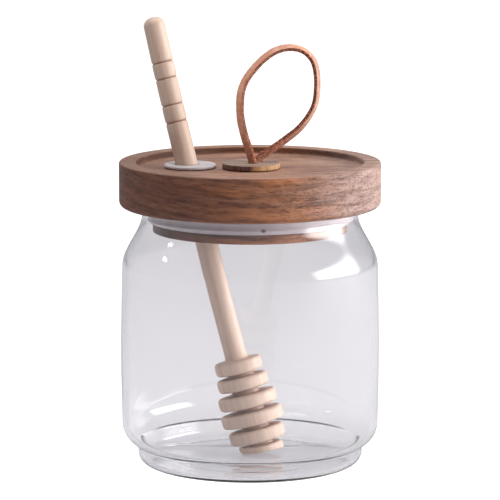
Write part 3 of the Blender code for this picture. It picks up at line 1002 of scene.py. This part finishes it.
def dipperProfile():
    d = dip
    slot = d["core"] + d["slotCorner"]
    pts = [(0, 0)] + ringSteps(0, rings[0][2] - d["round"], 0.0, 3)
    for index, (low, high, radius) in enumerate(rings):
        if index > 0:
            pts += [(slot, low)]
        pts += arcPoints((radius - d["round"], low + d["round"]), d["round"], -90, 0, 8)
        pts.append((radius + d["swell"], (low + high) / 2))
        pts += arcPoints((radius - d["round"], high - d["round"]), d["round"], 0, 90, 8)
        pts.append((slot, high))
        if index < len(rings) - 1:
            pts.append((d["core"], (high + rings[index + 1][0]) / 2))
    start = rings[-1][1]
    pts += [(d["handle"] + 0.0004, start + 0.0003), (d["handle"] + 0.0001, start + 0.0012)]
    pts.append((d["handle"], start + d["neckLength"]))
    marks = sorted(dipperLength - g for g in tipGrooves)
    plain = marks[0] - d["beforeMarks"] - start - d["neckLength"]
    for i in range(1, 24):
        pts.append((d["handle"], start + d["neckLength"] + plain * i / 24))
    for index, z in enumerate(marks):
        # a small bead stands between the grooves of a pair
        for side in (-1, 1):
            notch = [(d["handle"], z + side * d["notch"]), (d["handle"] - 0.0001, z + side * d["notchLow"])]
            notch.append((d["handle"] - d["notchDepth"], z + side * d["notchFloor"]))
            pts += notch if side < 0 else notch[::-1]
        if index < 3:
            span = marks[index + 1] - z - 2 * d["notch"]
            swell = d["swell"] if index in (0, 2) else 0.0
            for k in range(1, 6):
                u = k / 6
                pts.append((d["handle"] + swell * math.sin(math.pi * u), z + d["notch"] + span * u))
    last = marks[-1] + d["notch"]
    for k in range(1, 8):
        u = k / 8
        pts.append((d["handle"] - d["taper"] * u, last + (dipperLength - d["dome"] - last) * u))
    top = d["handle"] - d["taper"]
    for k in range(13):
        a = math.pi / 2 * k / 12
        r = top * math.cos(a) ** 0.8 if k < 12 else 0.0
        pts.append((r, dipperLength - d["dome"] + d["dome"] * math.sin(a)))
    return pts


beech = {
    "dark": (201, 172, 153), "light": (212, 186, 168), "pore": (150, 106, 80), "groove": (136, 88, 66),
    "slot": (156, 116, 98), "chatter": (96, 62, 48), "chatterTurns": 64.0,
}


def dipperMaterial():
    mat, t, shader = newMaterial("pale beech")
    uvLine = t.nodes.new("ShaderNodeAttribute")
    uvLine.attribute_name = "stick"
    vec = uvLine.outputs["Vector"]
    parts = splitVector(t, vec)
    fig = useGroup(
        t, grain, Vector=vec, Streak_Scale=520.0, Stretch=0.035, Waviness=0.0012,
        Fibre_Scale=3200.0, Pore_Scale=3000.0, Pore_Share=0.25,
    )
    colour = mixColour(t, fig["Streaks"], linear(*beech["dark"]), linear(*beech["light"]))
    colour = mixColour(t, times(t, fig["Pores"], 0.3), colour, linear(*beech["pore"]))
    shade = ramp(t, fig["Fibres"], 0, 1, 0.96, 1.03, smooth=False)
    colour = mixColour(t, 1.0, colour, greyColour(t, shade), "MULTIPLY")
    # the cut grooves near the tip are darker
    groove = None
    for g in tipGrooves:
        mask = inBand(t, parts["Z"], dipperLength - g, 0.0002, 0.0003)
        groove = mask if groove is None else math2(t, "MAXIMUM", groove, mask)
    colour = mixColour(t, times(t, groove, 0.7), colour, linear(*beech["groove"]))
    # painted shade: the slots between the rings are darker, with chatter marks round them
    deep = ramp(t, fromAxis(t, parts), 0.0064, 0.0088, 1.0, 0.0)
    slot = times(t, deep, ramp(t, parts["Z"], 0.0345, 0.0355, 1.0, 0.0))
    turn = math2(t, "ARCTAN2", parts["Y"], parts["X"])
    marks = ramp(t, math2(t, "SINE", times(t, turn, beech["chatterTurns"])), 0.1, 0.7)
    chatter = times(t, marks, blotches(t, vec, 230.0, 0.5, 0.06), 0.5)
    slotShadeColour = mixColour(t, chatter, linear(*beech["slot"]), linear(*beech["chatter"]))
    colour = mixColour(t, times(t, slot, 0.75), colour, slotShadeColour)
    t.links.new(colour, shader.inputs["Base Color"])
    t.links.new(ramp(t, fig["Fibres"], 0, 1, 0.6, 0.46, smooth=False), shader.inputs["Roughness"])
    shader.inputs["Specular IOR Level"].default_value = 0.75
    heightOnly = addNode(t, "ShaderNodeCombineXYZ", Z=parts["Z"])
    latheLines = noise(t, heightOnly.outputs[0], 2400.0, 1.0)
    height = math2(t, "ADD", times(t, fig["Fibres"], 0.5), times(t, latheLines, 0.5))
    t.links.new(bumpFrom(t, height, 0.25, 0.00009), shader.inputs["Normal"])
    return mat


dipperMesh = spinMesh("honey_dipper", dipperProfile(), 128)
# keeps each point's place on the straight stick for the grain, then bows and leans it
stick = dipperMesh.attributes.new("stick", "FLOAT_VECTOR", "POINT")
for vert in dipperMesh.vertices:
    stick.data[vert.index].vector = vert.co
for vert in dipperMesh.vertices:
    s = vert.co.z / dipperLength
    vert.co.x -= dipperBow * 4 * s * (1 - s)
dipperMesh.transform(Matrix.Translation(dipperFoot) @ dipperTurn.to_matrix().to_4x4())
dipperObj = link("honey_dipper", dipperMesh, dipperMaterial(), 45)
finishPiece(dipperObj, "dipper")
